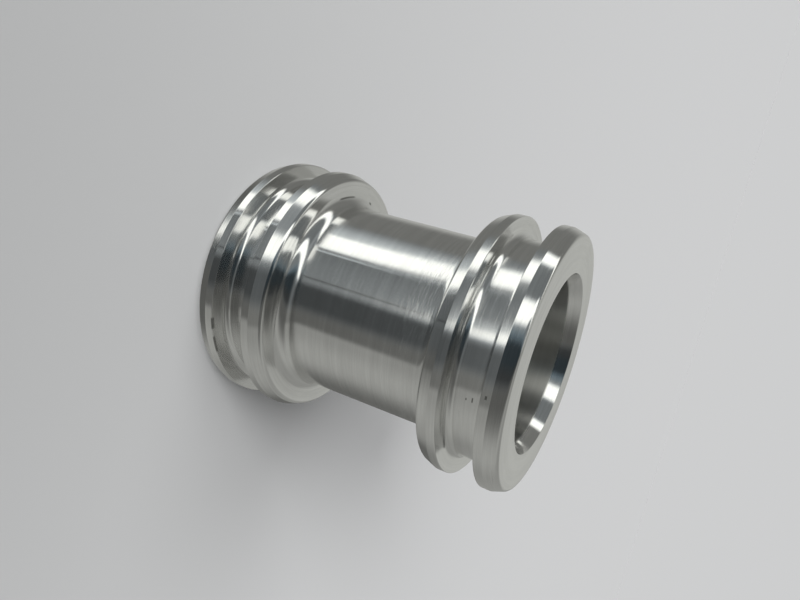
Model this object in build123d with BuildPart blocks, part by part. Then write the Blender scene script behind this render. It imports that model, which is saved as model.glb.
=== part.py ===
from build123d import *
import os
from math import cos, radians, sin, tan

# Sanitary spool pipe, turned from one bar. All sizes are in millimetres.
# The spool stands on one end face: +Z runs up its bore, and z = 0 is the lower end face.

# Overall
spool_length = 63.0
flange_diameter = 50.5

# Barrel between the two grooved ends, blended into the flanges beside it
barrel_diameter = 38.1
barrel_root_radius = 2.6
least_flange_wall = 0.2

# Flange: a plain rim beside the seal groove, and a cone that leads on to the rim
rim_width = 1.7
rim_edge_break = 0.15
cone_length = 2.5
cone_angle = 20.0
nose_chamfer = 0.5

# Seal groove between the two flanges of an end
groove_width = 6.9
groove_depth = 3.9
groove_root_chamfer = 1.0

# Bore, opening out to a cone at each mouth
bore_diameter = 32.8
mouth_depth = 2.61
mouth_angle = 20.0

# Radii that the section turns at
rim_radius = flange_diameter / 2
rim_edge = rim_radius - rim_edge_break
cone_nose = rim_radius - cone_length * tan(radians(cone_angle))
groove_floor = rim_radius - groove_depth
groove_wall_foot = groove_floor + groove_root_chamfer
barrel_radius = barrel_diameter / 2
bore_radius = bore_diameter / 2
mouth_radius = bore_radius + mouth_depth * tan(radians(mouth_angle))

# Heights that the lower end turns at, from the end face up to the barrel
groove_start = cone_length + rim_width
groove_end = groove_start + groove_width
inner_cone_start = groove_end + rim_width
barrel_start = inner_cone_start + cone_length

# The nose chamfer takes the same length off the flat face and off the cone
nose_face_edge = cone_nose - nose_chamfer
nose_cone_edge = cone_nose + nose_chamfer * sin(radians(cone_angle))
nose_height = nose_chamfer * cos(radians(cone_angle))

# The blend at the root of the barrel leaves some flat wall below the nose chamfer
root_fillet = min(barrel_root_radius, nose_face_edge - barrel_radius - least_flange_wall)

# Corners of the section at the lower end as (radius, height, fillet radius),
# out of the bore, over the end face and up the outside to the root of the barrel
lower_end = [
    (bore_radius, mouth_depth, 0),
    (mouth_radius, 0, 0),
    (nose_face_edge, 0, 0),
    (nose_cone_edge, nose_height, 0),
    (rim_radius, cone_length, 0),
    (rim_radius, groove_start - rim_edge_break, 0),
    (rim_edge, groove_start, 0),
    (groove_wall_foot, groove_start, 0),
    (groove_floor, groove_start + groove_root_chamfer, 0),
    (groove_floor, groove_end - groove_root_chamfer, 0),
    (groove_wall_foot, groove_end, 0),
    (rim_edge, groove_end, 0),
    (rim_radius, groove_end + rim_edge_break, 0),
    (rim_radius, inner_cone_start, 0),
    (nose_cone_edge, barrel_start - nose_height, 0),
    (nose_face_edge, barrel_start, 0),
    (barrel_radius, barrel_start, root_fillet),
]

# The upper end has the same corners turned over, from the barrel to the bore
upper_end = [
    (radius, spool_length - height, fillet_radius)
    for radius, height, fillet_radius in reversed(lower_end)
]

section = lower_end + upper_end

with BuildPart() as spool:
    with BuildSketch(Plane.XZ):
        with BuildLine():
            FilletPolyline(
                *[(radius, height) for radius, height, fillet_radius in section],
                radius=[fillet_radius for radius, height, fillet_radius in section],
                close=True,
            )
        make_face()
    revolve(axis=Axis.Z)

spool.part.label = "spool"

os.makedirs("parts", exist_ok=True)
export_step(spool.part, "parts/spool.step")
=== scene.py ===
import bpy
from math import cos, pi, radians, tan
from mathutils import Matrix, Vector


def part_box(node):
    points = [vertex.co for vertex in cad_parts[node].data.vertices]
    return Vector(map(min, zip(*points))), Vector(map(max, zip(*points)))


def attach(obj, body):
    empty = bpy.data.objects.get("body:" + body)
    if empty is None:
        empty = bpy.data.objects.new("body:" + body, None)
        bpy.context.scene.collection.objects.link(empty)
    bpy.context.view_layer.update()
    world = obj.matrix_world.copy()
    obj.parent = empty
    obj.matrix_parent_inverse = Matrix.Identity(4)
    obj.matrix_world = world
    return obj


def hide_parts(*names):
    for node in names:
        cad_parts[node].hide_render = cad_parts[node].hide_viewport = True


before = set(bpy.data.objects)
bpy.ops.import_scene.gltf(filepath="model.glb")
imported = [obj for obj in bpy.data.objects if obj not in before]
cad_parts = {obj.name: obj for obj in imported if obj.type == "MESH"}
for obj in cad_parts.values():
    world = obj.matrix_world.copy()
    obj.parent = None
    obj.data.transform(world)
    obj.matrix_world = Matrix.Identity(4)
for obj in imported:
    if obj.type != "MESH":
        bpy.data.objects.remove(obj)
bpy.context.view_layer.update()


# ---------------------------------------------------------------------------
# Camera. It looks down on the side of the standing spool and on its upper end
# face, and is rolled so that the bore's axis runs up to the right of the view.
MM = 0.001
spool_low, spool_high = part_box("spool")
spool_length = spool_high.z - spool_low.z
rim_radius = spool_high.x
mid_height = (spool_low.z + spool_high.z) / 2
camera_out = 5.011 * rim_radius
camera_rise = 2.206 * rim_radius
aim_aside = 2.935 * MM
aim_below = 1.495 * MM
camera_roll = radians(107.55)

camera_data = bpy.data.cameras.new("camera")
camera_data.lens = 30.66
camera_data.sensor_width = 36.0
camera_data.clip_start = 0.01
camera = bpy.data.objects.new("camera", camera_data)
camera_place = Vector((0, -camera_out, mid_height + camera_rise))
camera_aim = Vector((-aim_aside, 0, mid_height - aim_below))
aimed = (camera_aim - camera_place).to_track_quat("-Z", "Y").to_matrix()
rolled = aimed @ Matrix.Rotation(camera_roll, 3, "Z")
camera.matrix_world = Matrix.Translation(camera_place) @ rolled.to_4x4()
bpy.context.scene.collection.objects.link(camera)
bpy.context.scene.camera = camera


# ---------------------------------------------------------------------------
# Spool. One piece turned from aluminium bar: a tube-sized barrel between two
# grooved double flanges, bored right through, with every sharp edge taken off.
rim_width = 1.7 * MM
edge_radius = 0.12 * MM
cone_length = 2.5 * MM
cone_slope = tan(radians(20.0))
nose_radius = 0.9 * MM
groove_width = 6.9 * MM
groove_depth = 3.9 * MM
groove_root_radius = 1.4 * MM
barrel_radius = 19.05 * MM
barrel_root_radius = 2.6 * MM
bore_radius = 16.4 * MM
mouth_depth = 2.61 * MM
mouth_edge_radius = 0.12 * MM
bore_edge_radius = 0.4 * MM
turn_steps = 224
weld_distance = 0.001 * MM

groove_start = cone_length + rim_width
groove_end = groove_start + groove_width
inner_cone_start = groove_end + rim_width
barrel_start = inner_cone_start + cone_length
groove_floor = rim_radius - groove_depth
cone_nose = rim_radius - cone_length * cone_slope
mouth_radius = bore_radius + mouth_depth * cone_slope

# Corners of one end as (radius, height, rounding), out of the bore and up the outside
end_corners = [
    (bore_radius, mouth_depth, bore_edge_radius),
    (mouth_radius, 0, mouth_edge_radius),
    (cone_nose, 0, nose_radius),
    (rim_radius, cone_length, edge_radius),
    (rim_radius, groove_start, edge_radius),
    (groove_floor, groove_start, groove_root_radius),
    (groove_floor, groove_end, groove_root_radius),
    (rim_radius, groove_end, edge_radius),
    (rim_radius, inner_cone_start, edge_radius),
    (cone_nose, barrel_start, nose_radius),
    (barrel_radius, barrel_start, barrel_root_radius),
]
other_end = [(r, spool_length - h, rounding) for r, h, rounding in reversed(end_corners)]


def turned_section(corners, arc_step=radians(6.0), fewest_steps=3, guard=0.04 * MM):
    """Points round a closed section, each corner an arc with a guard point on each side of it.

    The guard points keep the flats and cylinders beside an arc shading as flats and cylinders.
    """
    points = []
    for i, (r, h, rounding) in enumerate(corners):
        corner = Vector((r, h))
        way_in = (Vector(corners[i - 1][:2]) - corner).normalized()
        way_out = (Vector(corners[(i + 1) % len(corners)][:2]) - corner).normalized()
        half_turn = (pi - way_in.angle(way_out)) / 2
        setback = rounding * tan(half_turn)
        centre = corner + (way_in + way_out).normalized() * rounding / cos(half_turn)
        start = corner + way_in * setback - centre
        turn = start.angle_signed(corner + way_out * setback - centre)
        steps = max(fewest_steps, round(abs(turn) / arc_step))
        points.append(corner + way_in * (setback + guard))
        for k in range(steps + 1):
            points.append(centre + Matrix.Rotation(-turn * k / steps, 2) @ start)
        points.append(corner + way_out * (setback + guard))
    return points


def node(tree, kind, settings=None, **values):
    """Adds a node, sets its properties, then its inputs: a value each, or a socket to link.

    An input goes by its name, with _ for a space, or by its number, as in i2.
    """
    made = tree.nodes.new(kind)
    for name, value in (settings or {}).items():
        setattr(made, name, value)
    for name, value in values.items():
        numbered = name[0] == "i" and name[1:].isdigit()
        key = int(name[1:]) if numbered else name.replace("_", " ")
        if isinstance(value, bpy.types.NodeSocket):
            tree.links.new(value, made.inputs[key])
        else:
            made.inputs[key].default_value = value
    return made


def lathe_tree():
    """Geometry nodes that turn a section about the Z axis: a grid, one row to each step of the turn."""
    tree = bpy.data.node_groups.new("lathe", "GeometryNodeTree")
    sockets = tree.interface
    sockets.new_socket("Section", in_out="INPUT", socket_type="NodeSocketGeometry")
    sockets.new_socket("Section points", in_out="INPUT", socket_type="NodeSocketInt")
    sockets.new_socket("Steps in a turn", in_out="INPUT", socket_type="NodeSocketInt")
    sockets.new_socket("Weld distance", in_out="INPUT", socket_type="NodeSocketFloat")
    sockets.new_socket("Metal", in_out="INPUT", socket_type="NodeSocketMaterial")
    sockets.new_socket("Turned part", in_out="OUTPUT", socket_type="NodeSocketGeometry")
    given = tree.nodes.new("NodeGroupInput").outputs

    def maths(operation, *values):
        named = {f"i{i}": v for i, v in enumerate(values)}
        return node(tree, "ShaderNodeMath", {"operation": operation}, **named).outputs[0]

    columns = maths("ADD", given["Section points"], 1)
    rows = maths("ADD", given["Steps in a turn"], 1)
    grid = node(tree, "GeometryNodeMeshGrid", i2=columns, i3=rows).outputs["Mesh"]
    index = node(tree, "GeometryNodeInputIndex").outputs[0]
    column = maths("FLOOR", maths("DIVIDE", index, rows))
    row = maths("FLOORED_MODULO", index, rows)
    wrapped = maths("FLOORED_MODULO", column, given["Section points"])
    place = node(tree, "GeometryNodeInputPosition").outputs[0]
    sampled = node(tree, "GeometryNodeSampleIndex", {"data_type": "FLOAT_VECTOR", "domain": "POINT"},
                   Geometry=given["Section"], Value=place, Index=wrapped).outputs[0]
    angle = maths("MULTIPLY", maths("DIVIDE", row, given["Steps in a turn"]), 2 * pi)
    turned = node(tree, "ShaderNodeVectorRotate", {"rotation_type": "Z_AXIS"},
                  Vector=sampled, Angle=angle).outputs[0]
    placed = node(tree, "GeometryNodeSetPosition", Geometry=grid, Position=turned).outputs[0]
    welded = node(tree, "GeometryNodeMergeByDistance",
                  Geometry=placed, Distance=given["Weld distance"]).outputs[0]
    outward = node(tree, "GeometryNodeFlipFaces", Mesh=welded).outputs[0]
    smooth = node(tree, "GeometryNodeSetShadeSmooth", i0=outward).outputs[0]
    real = node(tree, "GeometryNodeRealizeInstances", Geometry=smooth).outputs[0]
    metal = node(tree, "GeometryNodeSetMaterial", Geometry=real, Material=given["Metal"]).outputs[0]
    out = tree.nodes.new("NodeGroupOutput")
    tree.links.new(metal, out.inputs["Turned part"])
    return tree


class Wire:
    """A shader socket that can be written in sums, so that `1 - mask * 0.2` adds its own Math nodes."""

    def __init__(self, tree, socket):
        self.tree = tree
        self.socket = socket

    def add(self, kind, settings=None, out=0, **values):
        """Adds any node to the tree, linking the wires among its input values."""
        plain = {k: v.socket if isinstance(v, Wire) else v for k, v in values.items()}
        return Wire(self.tree, node(self.tree, kind, settings, **plain).outputs[out])

    def maths(self, operation, *values):
        named = {f"i{i}": v for i, v in enumerate(values)}
        return self.add("ShaderNodeMath", {"operation": operation}, **named)

    def ramp(self, low, high):
        """0 below low, 1 above high, eased between them."""
        return self.add("ShaderNodeMapRange", {"interpolation_type": "SMOOTHSTEP"}, Value=self,
                        From_Min=low, From_Max=high)

    def blend(self, first, second):
        """The first colour where this wire is 0, and the second where it is 1."""
        return self.add("ShaderNodeMix", {"data_type": "RGBA"}, out=2, i0=self, i6=first, i7=second)

    def __add__(self, other):
        return self.maths("ADD", self, other)

    def __sub__(self, other):
        return self.maths("SUBTRACT", self, other)

    def __rsub__(self, other):
        return self.maths("SUBTRACT", other, self)

    def __mul__(self, other):
        return self.maths("MULTIPLY", self, other)

    def __truediv__(self, other):
        return self.maths("DIVIDE", self, other)

    def __neg__(self):
        return self.maths("MULTIPLY", self, -1)

    def __abs__(self):
        return self.maths("ABSOLUTE", self)

    __radd__ = __add__
    __rmul__ = __mul__


def turned_aluminium():
    """Bright aluminium as it leaves the lathe, with tool rings that follow every face round the axis."""
    dull_metal = (0.72, 0.72, 0.71, 1)
    clear_metal = (0.86, 0.86, 0.85, 1)
    line_metal = (0.52, 0.52, 0.51, 1)
    bore_shade_metal = (0.50, 0.50, 0.47, 1)
    worn_metal = (0.16, 0.16, 0.15, 1)
    line_strength = 0.5
    bore_shade_strength = 0.5
    wear_strength = 0.85
    polished_roughness = 0.06
    ring_roughness = 0.05
    band_roughness = 0.03
    coarse_roughness = 0.10
    bore_roughness = 0.20

    metal = bpy.data.materials.new("turned_aluminium")
    metal.use_nodes = True
    tree = metal.node_tree
    shader = tree.nodes["Principled BSDF"]
    shader.inputs["Metallic"].default_value = 1.0
    shader.inputs["Anisotropic"].default_value = 0.95
    shader.inputs["Anisotropic Rotation"].default_value = 0.25
    start = Wire(tree, tree.nodes.new("ShaderNodeTexCoord").outputs["Object"])
    axes = node(tree, "ShaderNodeSeparateXYZ", Vector=start.socket).outputs
    x, y, z = (Wire(tree, axes[i]) for i in range(3))
    radius = start.maths("SQRT", x * x + y * y)
    azimuth = start.maths("ARCTAN2", y, x)

    def rings(pitch, drift, detail, seed):
        """Noise in rings round the axis, each ring changing slowly on its way round."""
        where = start.add("ShaderNodeCombineXYZ", X=radius / pitch + seed, Y=z / pitch, Z=azimuth * drift)
        return start.add("ShaderNodeTexNoise", Vector=where, Scale=1.0, Detail=detail, Roughness=0.6)

    hair_rings = rings(pitch=0.07 * MM, drift=1.2, detail=1.0, seed=3.0)
    tool_rings = rings(pitch=0.30 * MM, drift=2.5, detail=2.0, seed=7.0)
    feed_bands = rings(pitch=1.6 * MM, drift=0.3, detail=2.0, seed=11.0)
    chatter = rings(pitch=0.25 * MM, drift=9.0, detail=2.0, seed=19.0)
    cloud = start.add("ShaderNodeTexNoise", Vector=start, Scale=120.0, Detail=4.0, Roughness=0.6)

    # Where the cut differs: a coarser pass on the upper barrel, the rougher bore with painted shade in
    # its colour, and deep tool rings
    on_barrel = 1 - radius.ramp(barrel_radius + 0.1 * MM, barrel_radius + 0.4 * MM)
    coarse_cut = on_barrel * z.ramp(39.0 * MM, 40.6 * MM) * (1 - z.ramp(46.4 * MM, 47.2 * MM))
    in_bore = 1 - radius.ramp(bore_radius + 0.03 * MM, bore_radius + 0.12 * MM)
    scored = tool_rings.ramp(0.58, 0.74)
    dark_line = tool_rings.ramp(0.66, 0.80)

    # Marks as (azimuth, half angle, radius, half width, height, half height) in degrees and millimetres
    marks = [
        (-60.0, 2.6, 25.15, 0.5, 4.12, 0.14),    # score along the groove edge of the lower rim
        (-49.0, 4.0, 25.20, 0.4, 4.18, 0.09),
        (-158.0, 7.0, 20.9, 0.16, 14.9, 1.2),    # short arc the tool left on a flange face, and a dot
        (175.0, 1.2, 20.9, 0.22, 14.9, 1.2),
        (-63.6, 1.1, 21.3, 0.3, 56.4, 0.12),     # pits in the upper groove and on the rim above it
        (-63.2, 0.5, 21.3, 0.3, 55.3, 0.10),
        (-71.5, 0.7, 25.2, 0.3, 59.7, 0.16),
    ]

    def inside(value, middle, half, sharp=0.8, faded=1.3):
        """1 within a half width of the middle, fading out just past it."""
        return 1 - abs(value - middle).ramp(half * sharp, half * faded)

    # The chatter breaks up the edges of the marks
    ragged = 0.5 + 0.8 * chatter
    worn = ragged * sum(
        inside(azimuth, radians(turn), radians(half_turn))
        * inside(radius, out * MM, half_out * MM)
        * inside(z, up * MM, half_up * MM)
        for turn, half_turn, out, half_out, up, half_up in marks
    )

    # Each pattern by its share of the tone, which add up to 1
    tone = feed_bands * 0.35 + tool_rings * 0.3 + cloud * 0.2 + hair_rings * 0.15
    grain = tone.ramp(0.3, 0.7).blend(dull_metal, clear_metal)
    lined = (dark_line * line_strength).blend(grain, line_metal)
    # Painted shade: the colour inside the bore is darkened; its extra roughness is real
    bored = (in_bore * bore_shade_strength).blend(lined, bore_shade_metal)
    colour = (worn * wear_strength).blend(bored, worn_metal)
    rough = (polished_roughness + (hair_rings + scored) * ring_roughness
             + (feed_bands + cloud) * band_roughness
             + coarse_cut * chatter.ramp(0.45, 0.7) * coarse_roughness + in_bore * bore_roughness)

    # Each pattern by its height, where 1 is the bump's distance
    height = (hair_rings * 0.2 + tool_rings * 0.35 + feed_bands * 0.8
              + chatter * (0.2 + coarse_cut * 0.5) - scored * 0.12 - worn * 1.5)
    bump = start.add("ShaderNodeBump", Strength=0.35, Distance=0.02 * MM, Height=height)
    tree.links.new(colour.socket, shader.inputs["Base Color"])
    tree.links.new(rough.socket, shader.inputs["Roughness"])
    tree.links.new(bump.socket, shader.inputs["Normal"])
    return metal


section = turned_section(end_corners + other_end)
section_edges = [(i, i + 1) for i in range(len(section) - 1)]
section_mesh = bpy.data.meshes.new("spool_section")
section_mesh.from_pydata([(p.x, 0, p.y) for p in section], section_edges, [])
spool = bpy.data.objects.new("turned_spool", section_mesh)
bpy.context.scene.collection.objects.link(spool)
lathe = spool.modifiers.new("lathe", "NODES")
lathe.node_group = lathe_tree()
lathe_inputs = {
    "Section points": len(section),
    "Steps in a turn": turn_steps,
    "Weld distance": weld_distance,
    "Metal": turned_aluminium(),
}
for item in lathe.node_group.interface.items_tree:
    if item.name in lathe_inputs:
        lathe[item.identifier] = lathe_inputs[item.name]
bpy.context.view_layer.update()
evaluated = spool.evaluated_get(bpy.context.evaluated_depsgraph_get())
turned_mesh = bpy.data.meshes.new_from_object(evaluated)
spool.modifiers.remove(lathe)
spool.data = turned_mesh
turned_mesh.name = "turned_spool"
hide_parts("spool")
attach(spool, "root")


# ---------------------------------------------------------------------------
# Floor. A pale table top under the lower end face, with painted shade in its colour,
# darkest in a soft patch in front of the spool and paler all the way out from there.
floor_half = 6.0
# Painted shade: the darker floor colour, and the middle and reach of the patch it fills
painted_shade_floor = (0.38, 0.385, 0.385, 1)
far_floor = (0.70, 0.705, 0.71, 1)
shade_middle = (0.02, -0.16, 0)
shade_reach = 0.11

floor_mesh = bpy.data.meshes.new("floor")
corner_signs = [(-1, -1), (1, -1), (1, 1), (-1, 1)]
floor_corners = [(sx * floor_half, sy * floor_half, 0) for sx, sy in corner_signs]
floor_mesh.from_pydata(floor_corners, [], [(0, 1, 2, 3)])
floor = bpy.data.objects.new("floor", floor_mesh)
bpy.context.scene.collection.objects.link(floor)
floor.visible_glossy = False
floor.visible_shadow = False
floor_paint = bpy.data.materials.new("pale_floor_painted_shade")
floor_paint.use_nodes = True
floor_tree = floor_paint.node_tree
floor_place = Wire(floor_tree, floor_tree.nodes.new("ShaderNodeTexCoord").outputs["Object"])
from_middle = floor_place.add("ShaderNodeVectorMath", {"operation": "DISTANCE"}, out=1,
                              i0=floor_place, i1=shade_middle) / shade_reach
# Painted shade: the share of the darker floor colour, highest at the patch's middle
painted_shade_share = floor_place.maths("DIVIDE", 1, 1 + from_middle * from_middle)
floor_shader = floor_tree.nodes["Principled BSDF"]
floor_tree.links.new(painted_shade_share.blend(far_floor, painted_shade_floor).socket, floor_shader.inputs["Base Color"])
floor_shader.inputs["Roughness"].default_value = 0.95
floor_shader.inputs["Specular IOR Level"].default_value = 0.0
floor_mesh.materials.append(floor_paint)


# ---------------------------------------------------------------------------
# Light. Two soft keys throw the part's shadow on the floor. The metal itself
# shows only the room: two long windows, a dark corner in front, a pale bench.
ambient = 0.27


def soft_key(name, towards, strength, spread):
    """A broad distant lamp, as a large softbox is, that the metal shows nothing of.

    It gives back how brightly it lights a white floor.
    """
    data = bpy.data.lights.new(name, "SUN")
    data.energy = strength
    data.angle = radians(spread)
    lamp = bpy.data.objects.new(name, data)
    lamp.matrix_world = Vector(towards).to_track_quat("Z", "Y").to_matrix().to_4x4()
    bpy.context.scene.collection.objects.link(lamp)
    lamp.visible_glossy = False
    return strength * Vector(towards).normalized().z / pi


key_share = soft_key("high_key", towards=(-0.55, -0.30, 0.78), strength=1.0, spread=40)
key_share += soft_key("low_key", towards=(-0.38, -0.82, 0.42), strength=2.65, spread=32)

world = bpy.data.worlds.new("room")
bpy.context.scene.world = world
world.use_nodes = True
room = world.node_tree
room.nodes.clear()
way = Wire(room, room.nodes.new("ShaderNodeTexCoord").outputs["Generated"])
rays = room.nodes.new("ShaderNodeLightPath").outputs
way_axes = node(room, "ShaderNodeSeparateXYZ", Vector=way.socket).outputs
across_way, depth_way, up_way = (Wire(room, way_axes[i]) for i in range(3))

# A place in the room is its bearing, 0 towards the camera and 90 towards +X, and its rise, in degrees
degree = pi / 180
bearing = way.maths("ARCTAN2", across_way, -depth_way) / degree
rise = way.maths("ARCSINE", up_way) / degree


def within(value, middle, half_width, edge):
    """1 within a half width of the middle, falling to 0 over an edge that straddles it."""
    return (half_width - abs(value - middle)).ramp(-edge, edge)


def covered(level, cover, share):
    """A level with a share of it hidden by another."""
    return level * (1 - share) + cover * share


below = 1 - rise.ramp(-24, -12)
low_down = 1 - rise.ramp(-16, -2)
high_up = rise.ramp(2, 20)

# Two leaning windows, the long one widest low down and the second one widest high up
window_level = 1.4
window_edge = 3.5
edge_sharpening = 1.5
long_bearing = -78.5
long_lean = 0.62
long_foot = -28
long_half_width = 11
long_narrowing = 4
second_bearing = -19.5
second_lean = 0.64
second_low_lean = 0.16
second_half_width = 11.5
second_narrowing = 7
long_place = bearing + long_lean * way.maths("MAXIMUM", rise, long_foot)
long_half = long_half_width - long_narrowing * rise.ramp(-3, 14)
long_window = within(long_place, long_bearing, long_half, window_edge - edge_sharpening * below)
second_place = bearing + second_lean * rise + second_low_lean * way.maths("MINIMUM", rise, 0)
second_half = second_half_width - second_narrowing * low_down
second_edge = window_edge - edge_sharpening * low_down
second_window = within(second_place, second_bearing, second_half, second_edge) * rise.ramp(-20.5, -17.5)
windows = way.maths("MAXIMUM", long_window, second_window)

# The light that the long window throws past its foot, and a paler patch beside the second one
glow_level = 0.38
beside_level = 0.22
window_glow = bearing.ramp(-98, -74) * (1 - bearing.ramp(-66, -56)) * below
beside_window = bearing.ramp(-26, -12) * (1 - bearing.ramp(-4, 8)) * within(rise, -15, 5, 2)

# The wall on the window side, with a lit part far round and a rail along it
wall_level = 0.19
lit_wall_level = 0.24
near_wall_level = 0.03
rail_level = 0.13
wall = wall_level + lit_wall_level * within(bearing, -160, 17, 13)
wall = wall + near_wall_level * bearing.ramp(-44, -24)
wall = wall + rail_level * within(rise, 0, 6, 4) * within(bearing, -48, 22, 5)

# The dark corner in front, darker high up and paler along its middle and towards the bench
corner_level = 0.062
corner_top_loss = 0.02
corner_middle_level = 0.085
corner_end_level = 0.065
corner = corner_level - corner_top_loss * high_up + corner_middle_level * within(rise, -6, 12, 8)
corner = corner + corner_end_level * bearing.ramp(22, 36)
corner_share = bearing.ramp(-18, -4) * high_up + bearing.ramp(-6, 4) * (1 - high_up)

# The pale bench that runs round to the back, with a dark recess under its far end
bench_level = 0.30
bench_middle_level = 0.07
recess_strength = 0.55
recess = bearing.ramp(86, 144) * within(rise, -25, 8, 4)
bench = (bench_level + bench_middle_level * within(bearing, 90, 22, 14)) * (1 - recess_strength * recess)
bench_share = bearing.ramp(46, 53) * (1 - high_up) + bearing.ramp(46, 100) * high_up

# A pale panel behind the spool, and the darker ground under it
panel_level = 0.47
panel = abs(bearing).ramp(150, 165) * rise.ramp(2, 8) * (1 - rise.ramp(24, 40))
ground_level = 0.11
ground = 1 - rise.ramp(-62, -48)

# A bright frame bar between two dark gaps beside the long window, and a dark shelf line
bar_level = 0.6
shelf_strength = 0.6
gap_strength = 0.55
frame_bar = within(long_place, long_bearing + 15.6, 1.0, 0.5) * below
frame_gaps = (within(long_place, long_bearing + 13.4, 1.0, 0.5)
              + within(long_place, long_bearing + 17.6, 0.8, 0.5)) * below
shelf_line = within(bearing, -9, 0.9, 0.5) * below

level = covered(wall, corner, corner_share)
level = covered(level, bench, bench_share)
level = covered(level, panel_level, panel)
level = covered(level, ground_level, ground)
level = level + window_glow * glow_level + beside_window * beside_level
level = level * (1 - shelf_strength * shelf_line) + frame_bar * bar_level
level = covered(level, window_level, windows) * (1 - gap_strength * frame_gaps)

# Cool walls in front, warm windows and bench, and a blue tint high in the dark corner
cool = (0.91, 0.98, 1.0, 1)
warm = (0.99, 1.0, 0.95, 1)
blue = (0.66, 0.87, 1.0, 1)
white = (1.0, 1.0, 1.0, 1)
coolness = bearing.ramp(-100, -88) * (1 - bearing.ramp(22, 40)) * (1 - windows)
blueness = high_up * within(bearing, -2, 17, 8) * (1 - windows)
tint = blueness.blend(coolness.blend(warm, cool), blue)

# Glossy rays see the room, the camera sees the floor's far colour, and the rest is plain light
backdrop_colour = [c * (ambient + key_share) for c in far_floor[:3]] + [1]
room_light = way.add("ShaderNodeBackground", i0=tint, i1=level)
plain_light = way.add("ShaderNodeBackground", i0=white, i1=ambient)
backdrop = way.add("ShaderNodeBackground", i0=backdrop_colour, i1=1.0)
is_glossy = Wire(room, rays["Is Glossy Ray"])
is_camera = Wire(room, rays["Is Camera Ray"])
unseen = way.add("ShaderNodeMixShader", i0=is_glossy, i1=plain_light, i2=room_light)
surroundings = way.add("ShaderNodeMixShader", i0=is_camera, i1=unseen, i2=backdrop)
world_output = room.nodes.new("ShaderNodeOutputWorld")
room.links.new(surroundings.socket, world_output.inputs["Surface"])


# ---------------------------------------------------------------------------
# Finish. Colours are shown plainly.
bpy.context.scene.view_settings.view_transform = "Standard"
